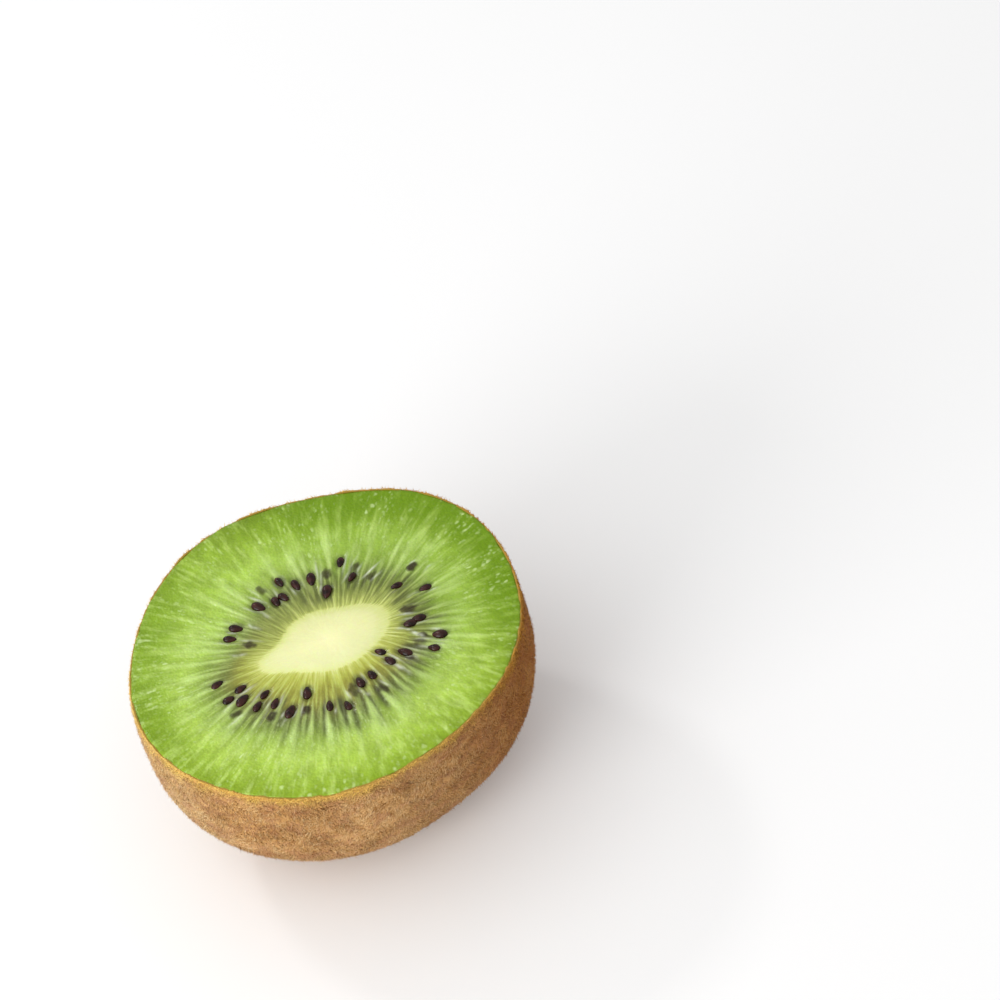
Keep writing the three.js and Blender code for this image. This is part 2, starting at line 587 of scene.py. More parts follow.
@dataclass(frozen=True)
class FleshFinish:
    """Ripe green kiwi fruit flesh, cut with a sharp knife: wet, a little translucent and grainy.

    The colour runs from the cream core through the olive seed ring to a fresh green under the
    peel. Pale threads and dark locules cross it, and the juice gives it a low, broken gloss.
    """

    # Places run from 0, the middle of the core, through 0.5, the core's edge, to 1, the peel.
    # The front's seed ring is lighter and yellower than the back's, partly painted light shining
    # through the flesh on the near side.
    between_front: Stops = (
        (0.0, "f6f5bb"), (0.36, "e9ebb0"), (0.44, "e4e8a7"), (0.50, "e1e697"), (0.53, "c8cd6a"),
        (0.56, "b3b850"), (0.60, "96943f"), (0.66, "787c3d"), (0.72, "7b8f3c"), (0.78, "99b54b"),
        (0.84, "adca57"), (0.89, "a6c54a"), (1.0, "89a727"),
    )
    between_back: Stops = (
        (0.0, "f6f5bb"), (0.36, "e4e6a6"), (0.44, "dae093"), (0.49, "d4db88"), (0.52, "b7c066"),
        (0.55, "939c50"), (0.60, "7a8442"), (0.65, "7f9046"), (0.69, "94ae4a"), (0.78, "a9c954"),
        (0.90, "8eae32"), (1.0, "748f21"),
    )
    threads: Stops = (
        (0.0, "f6f5bb"), (0.47, "ecefb0"), (0.52, "d6dc90"), (0.57, "b8c26e"), (0.64, "b4c676"),
        (0.70, "bdd67e"), (0.78, "c4e082"), (0.88, "bfda6e"), (1.0, "a0be44"),
    )
    # the dark locules, also painted shade round the bare seeds
    pocket_and_shade: str = "474b2c"
    sunk_seed: str = "2e1e16"
    # pale juice films and membranes, partly painted highlights beside the seeds
    film_and_glint: str = "dce2cc"
    # the flesh's deeper green, which on the right side is painted shade
    deep: str = "6c910a"
    pale: str = "c4de7a"
    # the pale colour of the light cells and of the painted highlights
    cell_and_glint_dots: str = "d6eca4"
    strand: float = 0.42  # mm, the width of the finest strands in the seed ring
    ray: float = 0.42  # mm, the width of the pale rays in the green flesh
    cell: float = 0.38  # mm, the size of the flesh's cells, as coarse as they show
    streak: float = 1.4  # mm, the width of the lighter and darker streaks
    drift: float = 3.2  # mm, the size of the drifts that the light cells and the painted highlights lie in
    grain: float = 0.25  # mm, the size of the grain between the cells
    wet: float = 2.5  # mm, the size of the wetter spots
    fray: float = -0.13  # how far a strand draws the colours outwards
    thread_fray: float = 1.1  # how much a strand strengthens a thread
    # Light cells that are partly painted highlights of the wet juice, then dashes drawn out along the
    # rays, which are painted highlights.
    cell_and_glint_dots_in: tuple[LightCellsAndGlints, ...] = (
        LightCellsAndGlints(0.42, 0.50, dark=0.30, lightest=0.36),
        LightCellsAndGlints(0.70, 0.42, dark=0.55, lightest=0.70),
    )
    glint_dashes_in: tuple[LightCellsAndGlints, ...] = (LightCellsAndGlints(0.42, 0.30, dark=0.78, lightest=0.6),)

    def material(self) -> Material:
        """Builds the material."""
        material, tree = new_material("ripe_flesh")
        outward, front, thread, pocket_and_shade, sunk, film_and_glint, deep = (
            add_node(tree, "Attribute", out="Fac", attribute_name=name)
            for name in ("outward", "front", "thread", "pocket_and_shade", "sunk", "film_and_glint", "deep")
        )
        fibre, cell = (
            add_node(tree, "Attribute", out="Vector", attribute_name=name)
            for name in ("fibre", "cell")
        )
        place = add_node(tree, "TexCoord", out="Object")
        at = FleshPlaces(tree, place, fibre, cell, outward)

        strands = add_node(
            tree, "TexNoise",
            {"Vector": fibre, "Scale": 1 / self.strand, "Detail": 2.0, "Roughness": 0.6},
        )
        shift = add_node(tree, "Math", {0: strands, 1: 0.5}, operation="SUBTRACT")
        frayed = add_node(tree, "Math", {0: shift, 1: self.fray, 2: outward}, operation="MULTIPLY_ADD")
        thread = add_node(
            tree, "Math", {0: shift, 1: self.thread_fray, 2: thread},
            operation="MULTIPLY_ADD", use_clamp=True,
        )
        ramps = (
            (frayed, self.between_back), (frayed, self.between_front), (outward, self.threads),
        )
        back_colour, front_colour, thread_colour = (
            add_node(tree, "ValToRGB", {"Fac": value}, stops=stops)
            for value, stops in ramps
        )
        colour = add_node(
            tree, "Mix", {"Factor": front, "A": back_colour, "B": front_colour}, data_type="RGBA"
        )
        colour = self.mottled(at, colour)
        # Laid over the flesh: deeper green with painted shade on the right, dark locules with painted
        # shade round bare seeds, pale threads, sunk seeds, and juice films that are partly painted
        # highlights.
        layers = (
            (deep, linear(self.deep), 1.0),
            (pocket_and_shade, linear(self.pocket_and_shade), 0.9),
            (thread, thread_colour, 0.9),
            (sunk, linear(self.sunk_seed), 1.0),
            (film_and_glint, linear(self.film_and_glint), 0.8),
        )
        for amount, over, most in layers:
            share = add_node(tree, "Math", {0: amount, 1: most}, operation="MULTIPLY", use_clamp=True)
            colour = add_node(tree, "Mix", {"Factor": share, "A": colour, "B": over}, data_type="RGBA")
        # Light cells and painted highlights of the wet juice.
        for coordinates, kinds in ((cell, self.cell_and_glint_dots_in), (fibre, self.glint_dashes_in)):
            for kind in kinds:
                colour = self.with_light_cells_and_glints(at, coordinates, colour, kind)
        height, gloss = self.grain_of(at)
        coat = {
            "Base Color": colour, "Roughness": gloss, "IOR": 1.36, "Specular IOR Level": 0.34,
            "Subsurface Weight": 0.25, "Subsurface Radius": (0.7, 1.0, 0.3),
            "Subsurface Scale": 0.6 * MM,
        }
        return surfaced(material, coat, (height, 0.4, 0.12))

    def with_light_cells_and_glints(
        self, at: FleshPlaces, coordinates: Socket, colour: Socket, kind: LightCellsAndGlints
    ) -> Socket:
        """Scatters light cells and painted highlights of the wet juice over the green flesh, in loose
        drifts.

        Args:
            at: what the patterns read.
            coordinates: those that give the cells their shape.
            colour: the colour without them.
            kind: which cells.

        Returns:
            The colour with them.
        """
        tree = at.tree
        bent = add_node(
            tree, "TexNoise",
            {"Vector": coordinates, "Scale": 0.8 / kind.spacing, "Detail": 1.0}, out="Color",
        )
        bent = add_node(
            tree, "VectorMath", {0: bent, 1: (kind.spacing,) * 3, 2: coordinates},
            operation="MULTIPLY_ADD",
        )
        distance = add_node(tree, "TexVoronoi", {"Vector": bent, "Scale": 1 / kind.spacing})
        share = add_node(
            tree, "MapRange",
            {
                "Value": distance, "From Min": kind.reach, "From Max": kind.reach * 0.3,
                "To Max": kind.lightest,
            },
            interpolation_type="SMOOTHSTEP",
        )
        chosen = add_node(tree, "SeparateColor", {"Color": distance.node.outputs["Color"]})
        drift = add_node(
            tree, "TexNoise", {"Vector": coordinates, "Scale": 1 / self.drift, "Detail": 1.0}
        )
        for value, none, full in (
            (chosen, kind.dark, 1.0), (drift, 0.36, 0.60), (at.outward, 0.62, 0.80),
        ):
            part = add_node(tree, "MapRange", {"Value": value, "From Min": none, "From Max": full})
            share = add_node(tree, "Math", {0: share, 1: part}, operation="MULTIPLY", use_clamp=True)
        return add_node(
            tree, "Mix", {"Factor": share, "A": colour, "B": linear(self.cell_and_glint_dots)}, data_type="RGBA"
        )

    def mottled(self, at: FleshPlaces, colour: Socket) -> Socket:
        """Varies the green flesh: pale rays, and lighter and darker streaks and cells.

        Args:
            at: what the patterns read.
            colour: the even colour.

        Returns:
            The uneven one.
        """
        tree = at.tree
        rays, streaks, fine = (
            add_node(tree, "TexNoise", {"Vector": where, "Scale": 1 / size, "Detail": 2.0})
            for where, size in (
                (at.fibre, self.ray), (at.cell, self.streak), (at.place, self.cell * MM),
            )
        )
        swing = add_node(
            tree, "MapRange",
            {"Value": at.outward, "From Min": 0.48, "From Max": 0.70, "To Min": 0.05, "To Max": 1.0},
        )
        share = add_node(
            tree, "MapRange", {"Value": rays, "From Min": 0.48, "From Max": 0.74, "To Max": 0.52},
            interpolation_type="SMOOTHSTEP",
        )
        share = add_node(tree, "Math", {0: share, 1: swing}, operation="MULTIPLY")
        colour = add_node(
            tree, "Mix", {"Factor": share, "A": colour, "B": linear(self.pale)}, data_type="RGBA"
        )
        both = add_node(tree, "Math", {0: fine, 1: 0.4, 2: streaks}, operation="MULTIPLY_ADD")
        value = add_node(
            tree, "MapRange",
            {"Value": both, "From Min": 0.35, "From Max": 1.05, "To Min": -0.25, "To Max": 0.25},
        )
        value = add_node(tree, "Math", {0: value, 1: swing, 2: 1.0}, operation="MULTIPLY_ADD")
        return add_node(tree, "HueSaturation", {"Color": colour, "Value": value})

    def grain_of(self, at: FleshPlaces) -> tuple[Socket, Socket]:
        """Builds the cells' relief and the broken gloss of the juice on them.

        Args:
            at: what the patterns read.

        Returns:
            The relief's height and the roughness.
        """
        tree = at.tree
        cells = add_node(
            tree, "TexVoronoi", {"Vector": at.place, "Scale": 1 / (self.cell * MM), "Smoothness": 0.5},
            feature="SMOOTH_F1",
        )
        fine, wet = (
            add_node(tree, "TexNoise", {"Vector": at.place, "Scale": 1 / (size * MM), "Detail": 2.0})
            for size in (self.grain, self.wet)
        )
        height = add_node(tree, "Math", {0: fine, 1: 0.6, 2: cells}, operation="MULTIPLY_ADD")
        coarse = add_node(
            tree, "MapRange", {"Value": at.outward, "From Min": 0.46, "From Max": 0.70, "To Min": 0.12}
        )
        height = add_node(tree, "Math", {0: height, 1: coarse}, operation="MULTIPLY")
        gloss = add_node(
            tree, "MapRange",
            {"Value": wet, "From Min": 0.35, "From Max": 0.65, "To Min": 0.17, "To Max": 0.36},
        )
        return height, gloss


@dataclass(frozen=True)
class SeedFinish:
    """A ripe kiwi seed's coat: hard, almost black with a purple-brown cast, finely pitted, wet."""

    dark: str = "190906"
    light: str = "44211c"
    cloud: float = 0.8  # mm, the size of the lighter spots
    pit: float = 0.14  # mm, coarser than the real pits, so that they show

    def material(self) -> Material:
        """Builds the material."""
        material, tree = new_material("seed_coat")
        place = add_node(tree, "TexCoord", out="Object")
        cloud = add_node(
            tree, "TexNoise", {"Vector": place, "Scale": 1 / (self.cloud * MM), "Detail": 2.0}
        )
        colour = add_node(
            tree, "ValToRGB", {"Fac": cloud}, stops=((0.35, self.dark), (0.72, self.light))
        )
        pits = add_node(tree, "TexVoronoi", {"Vector": place, "Scale": 1 / (self.pit * MM)})
        gloss = add_node(tree, "MapRange", {"Value": cloud, "To Min": 0.14, "To Max": 0.28})
        coat = {"Base Color": colour, "Roughness": gloss, "IOR": 1.42, "Specular IOR Level": 0.3}
        return surfaced(material, coat, (pits, 0.35, 0.02))


@dataclass(frozen=True)
class SideLightAndShade:
    """Painted shade and light across the skin: darker and browner towards +X, paler towards -X."""

    # What is done to the colour, with what, and the mm along X from none of it to the most.
    sides: tuple[tuple[str, str, float, float], ...] = (
        ("MULTIPLY", "d8b785", 2.0, 25.0), ("ADD", "35483e", -16.5, -26.0),
    )

    def over(self, place: Socket, colour: Socket) -> Socket:
        """Paints shade on a colour towards +X and light on it towards -X.

        Args:
            place: the coordinates.
            colour: the skin's own colour, without the painted light and shade.

        Returns:
            The colour with the painted light and shade.
        """
        along = add_node(place.id_data, "SeparateXYZ", {"Vector": place})
        for how, over, none, full in self.sides:
            colour = laid_over(colour, along, (none * MM, full * MM), over, blend_type=how)
        return colour


@dataclass(frozen=True)
class PeelFinish:
    """Kiwi fruit peel: thin, leathery and matt, brown and slightly green, golden where it is cut."""

    dark: str = "8f5f2f"
    light: str = "d6a66e"
    olive: str = "b98c52"
    rim: str = "c89a45"
    cut_edge: str = "aa883a"
    cloud: float = 2.2  # mm, the size of the browner clouds
    grain: float = 0.35  # mm, the size of the leathery grain
    speck: float = 0.5  # mm between the lenticels
    rim_band: Span = (1.3, 0.2)  # mm under the cut, where the golden rim starts and is strongest
    cut_band: Span = (0.14, 0.04)  # mm, the same for the cut edge
    side_light_and_shade: SideLightAndShade = SideLightAndShade()

    def material(self) -> Material:
        """Builds the material."""
        material, tree = new_material("fruit_peel")
        place = add_node(tree, "TexCoord", out="Object")
        below = add_node(tree, "Attribute", out="Fac", attribute_name="below_rim")
        cloud, height = (
            add_node(
                tree, "TexNoise",
                {"Vector": place, "Scale": 1 / (size * MM), "Detail": detail, "Roughness": 0.6},
            )
            for size, detail in ((self.cloud, 5.0), (self.grain, 4.0))
        )
        colour = add_node(
            tree, "ValToRGB", {"Fac": cloud},
            stops=((0.34, self.dark), (0.54, self.olive), (0.72, self.light)),
        )
        specks = add_node(tree, "TexVoronoi", {"Vector": place, "Scale": 1 / (self.speck * MM)})
        speck = add_node(
            tree, "MapRange", {"Value": specks, "From Min": 0.28, "From Max": 0.08, "To Max": 0.6}
        )
        colour = add_node(
            tree, "Mix", {"Factor": speck, "A": colour, "B": linear(self.dark)}, data_type="RGBA"
        )
        # Painted shade towards +X and painted light towards -X.
        colour = self.side_light_and_shade.over(place, colour)
        colour = laid_over(colour, below, self.rim_band, self.rim, 0.7)
        colour = laid_over(colour, below, self.cut_band, self.cut_edge)
        coat = {"Base Color": colour, "Roughness": 0.72, "IOR": 1.42, "Specular IOR Level": 0.25}
        return surfaced(material, coat, (height, 0.5, 0.12))


@dataclass(frozen=True)
class HairFinish:
    """The peel's hairs: short, dry and brittle, tan with darker ones among them, golden at the rim."""

    shades: Stops = ((0.0, "7d4f26"), (0.22, "ad7b45"), (0.42, "d2a467"), (1.0, "eccd9c"))
    rosy: str = "cc966e"
    rim: str = "f8d26a"
    patch: float = 2.4  # mm, the size of the rosy patches
    side_light_and_shade: SideLightAndShade = SideLightAndShade()

    def material(self) -> Material:
        """Builds the material."""
        material, tree = new_material("peel_hair")
        shade, below = (
            add_node(tree, "Attribute", out="Fac", attribute_name=name)
            for name in ("shade", "below_rim")
        )
        colour = add_node(tree, "ValToRGB", {"Fac": shade}, stops=self.shades)
        place = add_node(tree, "TexCoord", out="Object")
        patches = add_node(
            tree, "TexNoise", {"Vector": place, "Scale": 1 / (self.patch * MM), "Detail": 3.0}
        )
        # The golden band's edge is uneven: patches end it sooner and light hairs later.
        deep = below
        for value, shift in ((patches, 3.6), (shade, -1.8)):
            deep = add_node(tree, "Math", {0: value, 1: shift, 2: deep}, operation="MULTIPLY_ADD")
        colour = laid_over(colour, patches, (0.45, 0.62), self.rosy, 0.6)
        colour = laid_over(colour, deep, (3.5, 0.5), self.rim, 0.9)
        # Painted shade towards +X and painted light towards -X, as on the peel.
        colour = self.side_light_and_shade.over(place, colour)
        coat = {"Base Color": colour, "Roughness": 0.6, "IOR": 1.45, "Specular IOR Level": 0.2}
        return surfaced(material, coat)


@dataclass(frozen=True)
class WoodyFinish:
    """The dry stem end: dead woody tissue, cracked along its rays, grey-brown and matt."""

    dark: str = "4a3320"
    light: str = "a58560"
    cloud: float = 0.9  # mm, the size of the lighter spots and of the relief

    def material(self) -> Material:
        """Builds the material."""
        material, tree = new_material("dry_stem_end")
        place = add_node(tree, "TexCoord", out="Object")
        cloud = add_node(
            tree, "TexNoise",
            {"Vector": place, "Scale": 1 / (self.cloud * MM), "Detail": 6.0, "Roughness": 0.7},
        )
        colour = add_node(
            tree, "ValToRGB", {"Fac": cloud}, stops=((0.32, self.dark), (0.66, self.light))
        )
        return surfaced(material, {"Base Color": colour, "Roughness": 0.85}, (cloud, 0.8, 0.2))


# --------------------------------------------------------------------------- the sub-assemblies


@dataclass
class Flesh:
    """The whole inside of the half, with its cut face in full relief."""

    form: FruitForm
    locules: Locules
    inset: float = 0.17  # mm that it stays inside the peel's outer face at the rim
    inset_swing: float = 0.10  # mm more or less than that along the rim
    side_inset: float = 0.7  # mm more than that further down, where the peel is uneven
    core_centre: tuple[float, float] = (0.45, -0.80)
    core_half: tuple[float, float] = (8.75, 5.05)
    core_waves: tuple[Wave, ...] = (
        Wave(3, 0.031, -54.7), Wave(4, 0.067, 9.5), Wave(5, 0.032, -34.2),
    )
    core_share: float = 0.34  # the core's edge on the round body that the face is spun as
    steps: int = 680
    core_rings: int = 12
    face_rings: int = 108
    side_rings: int = 9
    floor: float = 0.3  # mm over the ground, for its lowest part
    arch: float = 1.4  # mm, how high its underside passes over the stem end
    finish: FleshFinish = FleshFinish()

    def outline(self) -> list[tuple[float, float]]:
        """The outline from the middle of the cut face over the rim to the underside's middle."""
        half, top, core = self.form.width / 2, self.form.height, self.core_share
        shares = [core * i / self.core_rings for i in range(self.core_rings)]
        shares += [core + (1 - core) * i / self.face_rings for i in range(self.face_rings)]
        face = [(share * half, top) for share in shares]
        side = [(r, max(h, self.floor)) for r, h in self.form.side_outline(self.side_rings)]
        arch = [(self.form.moat_outer, self.floor), (self.form.moat_floor, self.arch)]
        return [*face, *side, *arch, (0.0, self.arch)]

    def rim_at(self, turn: np.ndarray) -> np.ndarray:
        """The flesh's rim, from the face's middle, at turns of the mesh's lines in radians."""
        angle = self.rim_angle(turn)
        way = np.stack([np.cos(angle), np.sin(angle)], axis=1)
        spots = np.column_stack([self.form.width / 2 * way, np.zeros(len(way))])
        inset = self.inset + self.inset_swing * lattice_noise(spots, 1.8, 12)
        radius = self.form.section_radius(angle, np.zeros_like(angle)) - inset
        return radius[:, None] * way

    def rim_angle(self, turn: np.ndarray) -> np.ndarray:
        """The angle round the fruit at which a line of the mesh meets the rim."""
        return np.arctan2(self.form.flatness * np.sin(turn), np.cos(turn))

    def core_at(self, turn: np.ndarray) -> np.ndarray:
        """The core's edge, from the face's middle, at turns of the mesh's lines in radians."""
        oval = np.stack([np.cos(turn) * self.core_half[0], np.sin(turn) * self.core_half[1]], axis=1)
        swell = 1 + self.form.wave_sum(self.core_waves, turn)
        return oval * swell[:, None] + np.array(self.core_centre)

    def face_places(self, turn: np.ndarray, share: np.ndarray) -> np.ndarray:
        """Lays points of the round face out along lines from the core to the rim.

        Args:
            turn: the points' turns in radians.
            share: their shares of the radius.

        Returns:
            Their (x, y) places from the face's middle.
        """
        edge, rim = self.core_at(turn), self.rim_at(turn)
        middle = np.array(self.core_centre)
        inner = middle + (share / self.core_share)[:, None] * (edge - middle)
        out = ((share - self.core_share) / (1 - self.core_share))[:, None]
        return np.where(share[:, None] < self.core_share, inner, edge + out * (rim - edge))

    def build(self) -> Piece:
        """Models the flesh and notes on it what its finish reads."""
        piece = spun("cut_flesh", self.outline(), self.steps)
        places = points_of(piece)
        turn = np.arctan2(places[:, 1], places[:, 0])
        share = np.hypot(places[:, 0], places[:, 1]) / (self.form.width / 2)
        on_face = places[:, 2] > self.form.height - 0.001
        lined = places.copy()
        angle = self.rim_angle(turn)
        radius = share * self.form.width / 2
        lined[:, 0], lined[:, 1] = radius * np.cos(angle), radius * np.sin(angle)
        below = self.form.height - places[:, 2]
        shaped = self.form.shaped(lined, self.inset + self.side_inset * smooth(below / 1.5))
        flat = self.face_places(turn, share)
        marks = FaceMarks(self, turn, share, flat, on_face)
        shaped[on_face, :2] = flat[on_face] + self.form.face_centre[:2]
        shaped[:, 2] += np.where(on_face, marks.relief(), 0.0)
        move_points(piece, shaped)
        for name, values in marks.notes().items():
            note(piece, name, values)
        smooth_faces(piece)
        dress(piece, self.finish.material())
        return piece


@dataclass(frozen=True)
class Membrane:
    """A torn, pale locule wall that lies in the cut: its middle, length, direction and strength."""

    x: float
    y: float
    length: float
    turn: float
    strength: float


@dataclass(frozen=True)
class Sector:
    """A part of the face: its direction in degrees, and the cosines off it where it fades in."""

    angle: float
    least: float
    over: float


@dataclass
class FaceMarks:
    """What is drawn on the cut face: threads, locules, sunk seeds and grain that growth made, with
    painted light and shade among them.
    """

    flesh: Flesh
    turn: np.ndarray
    share: np.ndarray
    flat: np.ndarray
    on_face: np.ndarray
    draw_start: int = 71
    wall_strength: Span = (0.6, 1.0)
    middle_strength: Span = (0.15, 0.8)
    thread_start: Span = (-0.05, 0.08)  # as a share of the way from the core to the peel
    thread_end: Span = (0.56, 1.06)
    thread_slim: Span = (0.08, 0.18)  # mm, half its width near the core
    thread_wide: Span = (0.25, 0.62)  # mm, the same near the peel
    wall_wider: float = 0.10  # mm
    thread_wobble: float = 0.10  # mm
    pocket_strength: Span = (0.35, 1.0)
    pocket_start: Span = (-0.05, 0.06)  # shares, as for the threads
    pocket_long: Span = (0.18, 0.31)
    pocket_width: Span = (0.24, 0.44)  # mm
    faint_locules: Sector = Sector(155, 0.40, 0.45)
    # painted light on the outer flesh at the back left
    painted_light_rim: Sector = Sector(142, 0.70, 0.25)
    narrow_ring: Sector = Sector(158, 0.55, 0.35)
    wide_ring: Sector = Sector(225, 0.6, 0.3)
    # painted shade on the right side, laid on as deeper green
    deep_green_and_shade: Sector = Sector(32, 0.22, 0.62)
    deep_rim: Sector = Sector(165, 0.65, 0.30)
    uneven: tuple[Swell, ...] = ((0.10, 7.0, 11), (0.04, 2.4, 12), (0.012, 0.45, 14))
    grain_size: float = 0.62  # mm
    grain_height: float = 0.035  # mm
    grain_start: int = 13
    ring: float = 12.0  # mm, where the strands have their true width
    outer_ring: float = 20.0  # mm, the same for the cells of the green flesh
    cell_stretch: float = 10.5  # mm from core to rim on the cells' scale, so they are drawn out
    membranes: tuple[Membrane, ...] = (
        Membrane(-7.9, 5.6, 2.2, 130, 0.8), Membrane(-6.2, 7.2, 2.8, 122, 0.6),
        Membrane(7.4, -9.0, 3.8, -52, 0.9), Membrane(9.9, -3.7, 2.2, -30, 0.85),
        Membrane(11.3, -5.3, 2.0, -45, 0.9), Membrane(-13.9, -4.9, 2.6, 28, 0.65),
        Membrane(-11.0, 2.1, 2.2, 160, 0.6), Membrane(15.9, 4.4, 1.8, 25, 0.6),
        Membrane(2.3, -11.0, 1.8, -50, 0.6), Membrane(12.6, 1.0, 1.6, 5, 0.5),
        Membrane(9.6, -8.4, 1.8, -48, 0.6), Membrane(-8.6, -10.8, 1.6, 60, 0.5),
        Membrane(-12.2, -3.2, 1.8, 40, 0.6), Membrane(-0.9, 9.4, 1.4, 100, 0.5),
    )

    def __post_init__(self) -> None:
        """Works out how far out each point lies, and how far across each locule."""
        core = self.flesh.core_share
        inner = self.share / core - 1
        outer = (self.share - core) / (1 - core)
        self.out = np.where(self.share < core, inner, outer)
        self.spots = np.column_stack([self.flat, np.zeros(len(self.flat))])
        step = 1e-4
        ahead = self.flesh.face_places(self.turn + step, self.share)
        further = self.flesh.face_places(self.turn, np.minimum(self.share + step, 1.0))
        nearer = self.flesh.face_places(self.turn, np.maximum(self.share - step, 0.0))
        along = further - nearer
        along /= np.maximum(np.linalg.norm(along, axis=1), 1e-12)[:, None]
        across = (ahead - self.flat) / step
        self.breadth = np.abs(across[:, 0] * along[:, 1] - across[:, 1] * along[:, 0])
        side = np.cos(self.turn)
        self.front = smooth(0.5 - 0.52 * np.sin(self.turn) - 0.14 * side - 0.16 * np.maximum(side, 0))
        self.thread = self.threads()
        self.pocket_and_shade = self.pockets()
        self.sunk, self.pit, self.film_and_glint = self.seed_marks()

    def towards(self, sector: Sector) -> np.ndarray:
        """How far inside a sector each point lies, from 0 to 1."""
        cosine = np.cos(self.turn - math.radians(sector.angle))
        return smooth((cosine - sector.least) / sector.over)

    def offset(self, angle: float) -> np.ndarray:
        """How far each point lies across from a line at an angle in radians, in millimetres."""
        gap = (self.turn - angle + np.pi) % (2 * np.pi) - np.pi
        return gap * self.breadth

    def measured_from(self, x: float, y: float, turn: float) -> tuple[np.ndarray, np.ndarray]:
        """Measures every point from a place on the face.

        Args:
            x: the place, from the face's middle.
            y: the same.
            turn: a direction in radians.

        Returns:
            How far each point lies along that direction and across it.
        """
        gap = self.flat - np.array([x, y])
        along = gap[:, 0] * math.cos(turn) + gap[:, 1] * math.sin(turn)
        return along, gap[:, 1] * math.cos(turn) - gap[:, 0] * math.sin(turn)

    def threads(self) -> np.ndarray:
        """The pale threads: two for each locule, the walls strong and the middles faint."""
        draw = np.random.default_rng(self.draw_start)
        locules = self.flesh.locules
        broken = 1 + 0.45 * lattice_noise(self.spots, 1.3, 91) * smooth((self.out - 0.25) / 0.2)
        near_core = 1 - 0.58 * smooth((0.35 - self.out) / 0.2)
        total = np.zeros(len(self.turn))
        for k in range(2 * locules.count):
            wall = k % 2 == 0
            angle = locules.first + k * 180 / locules.count + draw.uniform(-1.4, 1.4)
            strength = draw.uniform(*(self.wall_strength if wall else self.middle_strength))
            start, end = draw.uniform(*self.thread_start), draw.uniform(*self.thread_end)
            slim = draw.uniform(*self.thread_slim)
            wide = draw.uniform(*self.thread_wide) + self.wall_wider * wall
            phase, bend = draw.uniform(0, math.tau), draw.uniform(0.5, 1.5) * self.thread_wobble
            sway = bend * np.sin(self.out * 14 + phase)
            width = slim + (wide - slim) * smooth((self.out - 0.18) / 0.45)
            reach = smooth((self.out - start) / 0.10) * smooth((end - self.out) / 0.35)
            fade = 1 - 0.42 * smooth((self.out - 0.45) / 0.35)
            gap = self.offset(math.radians(angle)) + sway
            total = np.maximum(total, strength * fade * reach * np.exp(-((gap / width) ** 2)))
        return np.clip(total * broken * near_core, 0, 1)

    def pockets(self) -> np.ndarray:
        """The dark locules, which show inside the seed ring at the back and outside it in front."""
        draw = np.random.default_rng(self.draw_start + 1)
        locules = self.flesh.locules
        total = np.zeros(len(self.turn))
        for k in range(2 * locules.count):
            angle = locules.first + (k + 0.5) * 180 / locules.count + draw.uniform(-0.9, 0.9)
            strength = draw.uniform(*self.pocket_strength)
            inner = 0.05 + 0.16 * self.front + draw.uniform(*self.pocket_start)
            outer = inner + draw.uniform(*self.pocket_long) + 0.03 * self.front
            gap = self.offset(math.radians(angle))
            width = draw.uniform(*self.pocket_width) + 0.16 * self.front
            reach = smooth((self.out - inner) / 0.09) * smooth((outer - self.out) / 0.16 + 0.5)
            shape = np.exp(-((np.abs(gap) / width) ** 3))
            total = np.maximum(total, strength * reach * shape)
        return total * (1 - 0.7 * self.towards(self.faint_locules))

    def seed_marks(self) -> tuple[np.ndarray, np.ndarray, np.ndarray]:
        """What each seed does to the face, with painted shade round the bare ones laid into the dark
        locules.

        Returns:
            The dark spots of sunk seeds, the pits round bare ones, and the pale films of juice and
            membranes, which are partly painted highlights.
        """
        draw = np.random.default_rng(self.draw_start + 2)
        sunk, pit, film_and_glint = (np.zeros(len(self.turn)) for _ in range(3))
        shape = SeedShape()
        rough = lattice_noise(self.spots, 0.5, 97)
        for seed in self.flesh.locules.seeds():
            along, across = self.measured_from(seed.x, seed.y, seed.turn)
            long, wide = shape.length * seed.size / 2, shape.width * seed.size / 2
            around = np.hypot(along / long, across / wide)
            if seed.bare:
                pit = np.maximum(pit, np.exp(-((around / 1.35) ** 4)))
                # Painted shade: a dark ring round each bare seed, laid into the dark locules.
                edge = draw.uniform(0.3, 0.9) * np.exp(-((around / 1.42) ** 6))
                self.pocket_and_shade = np.maximum(self.pocket_and_shade, edge)
            else:
                edge = np.exp(-(((around + 0.34 * rough) / 0.95) ** 6))
                sunk = np.maximum(sunk, edge * draw.uniform(0.66, 0.96))
            # Two pale streaks beside each seed: juice films, partly painted highlights of the wet rim.
            for _ in range(2):
                side = draw.choice((-1, 1)) * (wide + draw.uniform(0.02, 0.25))
                length, shift = draw.uniform(0.4, 1.4), draw.uniform(-0.6, 1.1)
                amount = draw.uniform(0.0, 1.0) ** 1.3
                line = ((along - shift) / length) ** 2 + ((across - side) / 0.15) ** 2
                film_and_glint = np.maximum(film_and_glint, amount * np.exp(-line))
        return sunk, pit, np.maximum(film_and_glint, self.torn_walls())

    def torn_walls(self) -> np.ndarray:
        """The pale membranes, each a slightly bent line with a frayed side."""
        sway = 0.16 * lattice_noise(self.spots, 0.8, 95)
        frayed = 0.75 + 0.5 * lattice_noise(self.spots, 0.5, 96)
        total = np.zeros(len(self.turn))
        for wall in self.membranes:
            along, across = self.measured_from(wall.x, wall.y, math.radians(wall.turn))
            across += sway + 0.06 * along**2
            line = np.abs(2 * along / wall.length) ** 4 + (across / 0.22) ** 2
            total = np.maximum(total, wall.strength * np.exp(-line))
        return np.clip(total * frayed, 0, 1)

